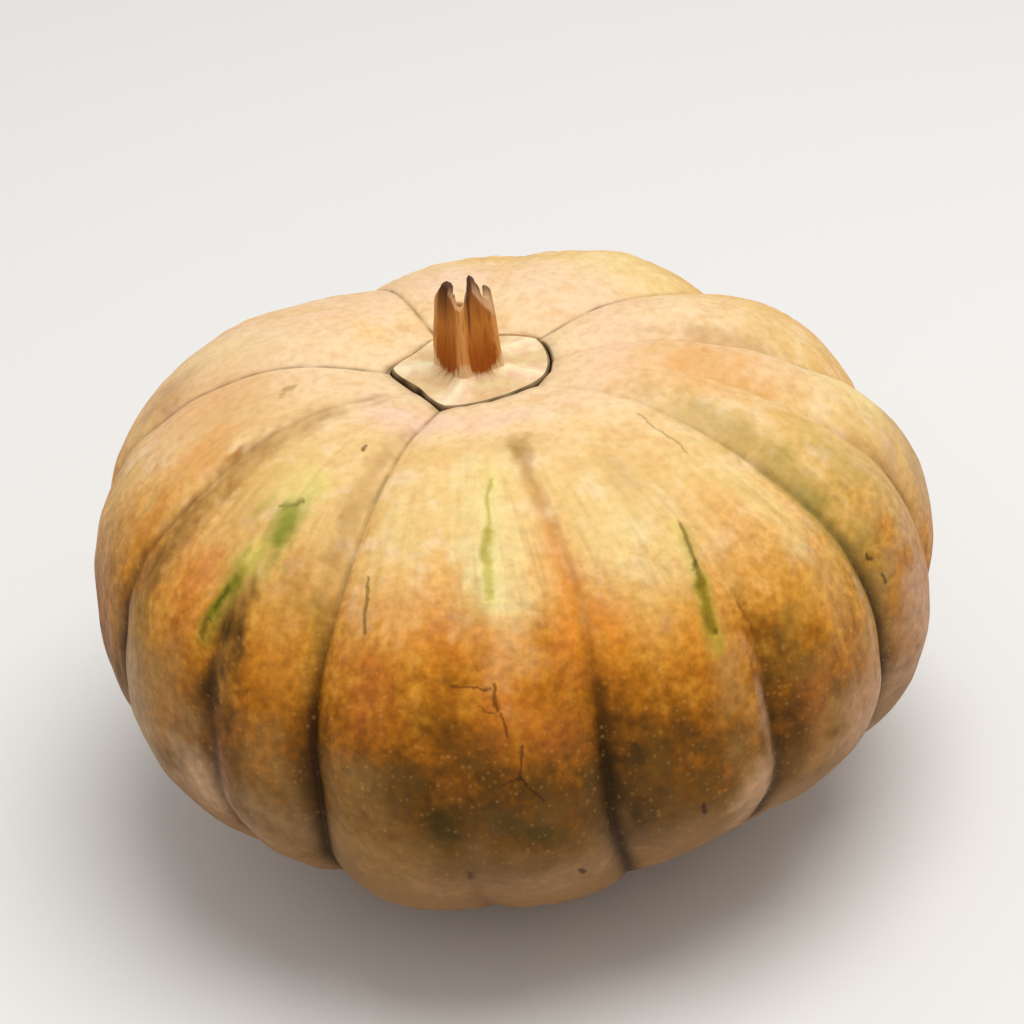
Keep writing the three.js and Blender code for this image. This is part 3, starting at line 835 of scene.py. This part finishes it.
def markLayers(tree, blotch, mottle):
    # marks waver by about a millimetre, sideways with the blotches and lengthways with the mottles
    skinPlace = addNode(tree, "UVMap", {"uv_map": "skin"})
    sideways = addNode(tree, "Math", {"operation": "MULTIPLY_ADD", 1: 5.0, 2: -2.5}, input0=blotch)
    lengthways = addNode(tree, "Math", {"operation": "MULTIPLY_ADD", 1: 4.0, 2: -2.0}, input0=mottle)
    waver = addNode(tree, "CombineXYZ", X=sideways, Y=lengthways)
    place = addNode(tree, "VectorMath", {"operation": "ADD"}, input0=skinPlace, input1=waver)
    return [(mark[3], markMask(tree, place, mark)) for mark in marks]


def tintLayers(tree, blotch):
    # the blotches break the edges and the middle of every patch
    breakup = addNode(tree, "MapRange", {"From": (0.35, 0.6), "To": (0.65, 1.1)}, Value=blotch)
    layers = []
    for name, shade in rind["tints"].items():
        share = addNode(tree, "Attribute", {"attribute_name": name}).outputs["Fac"]
        share = addNode(tree, "Math", {"operation": "MULTIPLY", "use_clamp": True}, input0=share,
                        input1=breakup)
        layers.append((shade, share))
    return layers


def speckLayers(tree, here, mottled):
    # most cells have a light corky speck up to 1.3 mm across, and fewer a dark pit; real ones are half as
    # wide, so these are drawn as coarse as they need to show
    cells = addNode(tree, "TexVoronoi", {"Scale": rind["speckScale"]}, Vector=here)
    chosen = addNode(tree, "SeparateColor", Color=cells.outputs["Color"])
    layers = []
    for name, dice, low, size, most in (("speck", "Red", 0.2, 0.5, 0.2), ("pit", "Green", 0.6, 0.4, 0.22)):
        reach = addNode(tree, "MapRange", {"From": (low, 1), "To": (0, size)}, Value=chosen.outputs[dice])
        inset = addNode(tree, "Math", {"operation": "SUBTRACT"}, input0=reach,
                        input1=cells.outputs["Distance"])
        layers.append(patternLayer(tree, rind[name], mottled, inset, 0, 0.3, most))
    return layers


def rindTones(tree, tone, streaks, blotch, mottle):
    # the tone follows the way down the fruit, pushed up and down by all three; light mottles are less ripe
    toneAt = addNode(tree, "Math", {"operation": "SUBTRACT", 1: 0.105}, input0=tone)
    for pattern, reach in ((streaks, 0.08), (blotch, 0.2), (mottle, -0.07)):
        toneAt = addNode(tree, "Math", {"operation": "MULTIPLY_ADD", 1: reach}, input0=pattern,
                         input2=toneAt)
    return addNode(tree, "ValToRGB", {"stops": rind["tonesAndPaintedShade"]}, Fac=toneAt).outputs["Color"]


def fadedStreaks(tree, flow, tone):
    # streaks that fade out near the stem, where they would crowd together, and nearly out in the brown
    streaks = addNode(tree, "TexNoise", {"Scale": rind["streakScale"], "Detail": 1.0}, Vector=flow)
    streaks = addNode(tree, "Math", {"operation": "SUBTRACT", 1: 0.5}, input0=streaks)
    above = addNode(tree, "MapRange", {"From": (0.06, 0.2)}, Value=tone)
    below = addNode(tree, "MapRange", {"From": (0.34, 0.46), "To": (1.0, 0.25)}, Value=tone)
    fade = addNode(tree, "Math", {"operation": "MULTIPLY"}, input0=above, input1=below)
    return addNode(tree, "Math", {"operation": "MULTIPLY_ADD", 2: 0.5}, input0=streaks, input1=fade)


def makeRind():
    material, tree, shader = newMaterial("waxyPumpkinRind")
    tone = addNode(tree, "Attribute", {"attribute_name": "tone"}).outputs["Fac"]
    flow = addNode(tree, "Attribute", {"attribute_name": "flow"}).outputs["Vector"]
    crease = addNode(tree, "Attribute", {"attribute_name": "crease"}).outputs["Fac"]
    here = millimetres(tree)
    streaks = fadedStreaks(tree, flow, tone)
    blotch = addNode(tree, "TexNoise", {"Scale": rind["blotchScale"], "Detail": 3.0, "Roughness": 0.6},
                     Vector=here)
    mottle = addNode(tree, "TexNoise", {"Scale": rind["mottleScale"], "Roughness": 0.55}, Vector=here)
    flank = addNode(tree, "MapRange", {"From": (0.2, 0.34)}, Value=tone)
    crown = addNode(tree, "Math", {"operation": "SUBTRACT", 0: 1.0}, input1=flank)
    belowCrown = addNode(tree, "MapRange", {"From": (0.08, 0.25)}, Value=tone)
    # the mottles show most on the flanks, less on the crown and underneath
    under = addNode(tree, "MapRange", {"From": (0.46, 0.62), "To": (1.0, 0.55)}, Value=tone)
    mottled = addNode(tree, "Math", {"operation": "MULTIPLY"}, input0=flank, input1=under)
    # how much painted shade shows in the grooves and the crease
    paintedShadeShare = addNode(tree, "Math", {"operation": "MULTIPLY", 1: 0.9}, input0=crease)
    colour = stacked(tree, rindTones(tree, tone, streaks, blotch, mottle), [
        patternLayer(tree, rind["peach"], crown, blotch, 0.5, 0.66, 0.7),
        patternLayer(tree, rind["honey"], crown, blotch, 0.48, 0.34, 0.4),
        patternLayer(tree, rind["streakLight"], crown, streaks, 0.54, 0.72, 0.3),
        patternLayer(tree, rind["honey"], crown, mottle, 0.46, 0.3, 0.15),
        *tintLayers(tree, blotch),
        patternLayer(tree, rind["streakDark"], belowCrown, streaks, 0.48, 0.3, 0.25),
        (rind["paintedShadeColour"], paintedShadeShare),
        *markLayers(tree, blotch, mottle),
        *speckLayers(tree, here, mottled),
    ])
    # the mottles turn it all lighter and darker
    depth = addNode(tree, "Math", {"operation": "MULTIPLY_ADD", 1: 0.55, 2: 0.3}, input0=mottled)
    gain = addNode(tree, "Math", {"operation": "SUBTRACT", 1: 0.5}, input0=mottle)
    gain = addNode(tree, "Math", {"operation": "MULTIPLY_ADD", 2: 1.0}, input0=gain, input1=depth)
    colour = addNode(tree, "VectorMath", {"operation": "SCALE"}, input0=colour, Scale=gain).outputs[0]
    tree.links.new(colour, shader.inputs["Base Color"])
    bump = addNode(tree, "Bump", {"Strength": 0.6, "Distance": rind["bumpDepth"]}, Height=mottle)
    tree.links.new(bump.outputs[0], shader.inputs["Normal"])
    smoothest, roughest = rind["roughness"]
    rough = addNode(tree, "MapRange", {"From": (0.3, 0.7), "To": (smoothest, roughest)}, Value=blotch)
    tree.links.new(rough.outputs[0], shader.inputs["Roughness"])
    shader.inputs["IOR"].default_value = rind["ior"]
    shader.inputs["Specular IOR Level"].default_value = rind["specular"]
    return material


# Dried woody stem: fibrous brown bark, paler corky ridges, a cream foot and dark, weathered broken tips.
bark = {
    "column": [(0.0, "#9c500a"), (0.2, "#a9580e"), (0.5, "#c27a2a"), (0.75, "#a86628"), (1.0, "#7c4616")],
    "ridge": "#df9c55",
    "cream": "#efc294",
    "foot": "#f7e2b0",
    "footWarm": "#efc6a0",
    "footHollow": "#d3ab66",
    "footLight": "#fdf0c6",
    "tip": "#3a1e0e",
    "crack": "#542810",
    "pith": "#d9b48a",
    "fibreDark": "#6a3410",
    # painted shade of the open crease on the foot's edge
    "grime": "#463214",
    "fibreScale": 1.1,  # upright fibres about 1 mm across
    "blotchScale": 0.22,  # blotches of 5 mm
    "roughness": 0.7,
    "specular": 0.25,  # dry wood is dull
    "bumpDepth": 0.0004,  # in metres
}


def makeBark():
    material, tree, shader = newMaterial("driedPumpkinStem")
    own = {name: addNode(tree, "Attribute", {"attribute_name": name}).outputs["Fac"]
           for name in ("height", "ridge", "rib", "inner", "grime", "tipShare", "crack", "bare")}
    drum = addNode(tree, "Attribute", {"attribute_name": "fibre"}).outputs["Vector"]
    fibres = addNode(tree, "TexNoise", {"Scale": bark["fibreScale"], "Detail": 4.0, "Roughness": 0.6},
                     Vector=drum)
    blotch = addNode(tree, "TexNoise", {"Scale": bark["blotchScale"], "Detail": 4.0},
                     Vector=millimetres(tree))
    colour = addNode(tree, "ValToRGB", {"stops": bark["column"]}, Fac=own["height"]).outputs["Color"]
    # ridges are wavered by the fibres, so that their edges are ragged
    ragged = addNode(tree, "Math", {"operation": "MULTIPLY_ADD", 1: 0.5}, input0=fibres, input2=own["ridge"])
    corky = addNode(tree, "MapRange", {"From": (0.74, 1.04), "To": (0, 0.9)}, Value=ragged)
    dark = addNode(tree, "MapRange", {"From": (0.47, 0.3), "To": (0, 0.5)}, Value=fibres)
    # the cream of the foot runs up into the ridges by a few millimetres
    footAt = addNode(tree, "Math", {"operation": "ADD", 1: 0.045}, input0=own["height"])
    footAt = addNode(tree, "Math", {"operation": "MULTIPLY_ADD", 1: -0.16}, input0=own["ridge"],
                     input2=footAt)
    footAt = addNode(tree, "Math", {"operation": "MULTIPLY_ADD", 1: -0.25}, input0=fibres, input2=footAt)
    onFoot = addNode(tree, "MapRange", {"From": (-0.06, -0.19)}, Value=footAt)
    # the foot is pinkish in blotches, tan between its buttresses and lightest along them
    colour = stacked(tree, colour, [
        (bark["ridge"], corky),
        # paler bark with painted light on the front prong's lit face
        (bark["cream"], own["bare"]),
        (bark["fibreDark"], dark),
        (bark["crack"], own["crack"]),
        (bark["foot"], onFoot),
        patternLayer(tree, bark["footWarm"], onFoot, blotch, 0.4, 0.6, 1.0),
        patternLayer(tree, bark["footHollow"], onFoot, own["rib"], 0.25, 0.0, 0.45),
        patternLayer(tree, bark["footLight"], onFoot, own["rib"], 0.4, 1.0, 0.7),
        (bark["pith"], own["inner"]),
        (bark["grime"], own["grime"]),
        (bark["tip"], own["tipShare"]),
    ])
    tree.links.new(colour, shader.inputs["Base Color"])
    bump = addNode(tree, "Bump", {"Strength": 0.7, "Distance": bark["bumpDepth"]}, Height=fibres)
    tree.links.new(bump.outputs[0], shader.inputs["Normal"])
    shader.inputs["Roughness"].default_value = bark["roughness"]
    shader.inputs["Specular IOR Level"].default_value = bark["specular"]
    return material


fruitPiece.data.materials.append(makeRind())
stemPiece.data.materials.append(makeBark())
for piece, node, slot in ((fruitPiece, "fruit", "rind"), (stemPiece, "stem", "dried_stem")):
    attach(piece, "root")
    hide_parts(node)
print("materials made")

# The studio: pale floor, soft light from above and the camera.
studio = {
    "floorSize": 14.0,
    "floorColour": "#f4f2ee",
    "floorRoughness": 0.9,
    "lampPlace": (0.3, -0.1, 1.8),
    "lampAim": (0, 0, 0.08),
    "lampSize": 1.4,
    "lampPower": 20,
    "skyStrength": 0.5,
    "lookAt": (-0.0017, 0.002, 0.075),
    "elevation": 33,
    "distance": 0.95,
    "roll": 4.5,
    "lens": 105.4,
    "aimOffset": (-0.0006, 0.0231),  # aims past lookAt, in metres across and up the view
}

floorMesh = bpy.data.meshes.new("paleFloor")
half = studio["floorSize"] / 2
corners = [(-half, -half, 0), (half, -half, 0), (half, half, 0), (-half, half, 0)]
floorMesh.from_pydata(corners, [], [(0, 1, 2, 3)])
floor = bpy.data.objects.new("paleFloor", floorMesh)
scene.collection.objects.link(floor)
# matt paper, which takes soft shadows and shows no shine
floorMaterial, _, floorShader = newMaterial("palePaper")
floorShader.inputs["Base Color"].default_value = linear(studio["floorColour"])
floorShader.inputs["Roughness"].default_value = studio["floorRoughness"]
floor.data.materials.append(floorMaterial)

softbox = bpy.data.lights.new("overheadSoftbox", "AREA")
softbox.shape = "DISK"
softbox.size = studio["lampSize"]
softbox.energy = studio["lampPower"]
lamp = bpy.data.objects.new("overheadSoftbox", softbox)
lamp.location = studio["lampPlace"]
lamp.rotation_euler = (lamp.location - Vector(studio["lampAim"])).to_track_quat("Z", "Y").to_euler()
scene.collection.objects.link(lamp)

sky = bpy.data.worlds.new("softSky")
sky.use_nodes = True
sky.node_tree.nodes["Background"].inputs["Color"].default_value = linear("#ffffff")
sky.node_tree.nodes["Background"].inputs["Strength"].default_value = studio["skyStrength"]
scene.world = sky
scene.view_settings.view_transform = "Standard"

lens = bpy.data.cameras.new("studioCamera")
lens.lens = studio["lens"]
lens.sensor_width = 36
lens.clip_start = 0.05
camera = bpy.data.objects.new("studioCamera", lens)
target = Vector(studio["lookAt"])
tilt = radians(studio["elevation"])
roll = Matrix.Rotation(radians(-studio["roll"]), 3, "Z")
place = target + studio["distance"] * Vector((0, -cos(tilt), sin(tilt)))
turn = (place - target).to_track_quat("Z", "Y").to_matrix() @ roll
aim = target + turn @ Vector((*studio["aimOffset"], 0))
turn = (place - aim).to_track_quat("Z", "Y").to_matrix() @ roll
camera.matrix_world = Matrix.Translation(place) @ turn.to_4x4()
scene.collection.objects.link(camera)
scene.camera = camera
print("studio set")
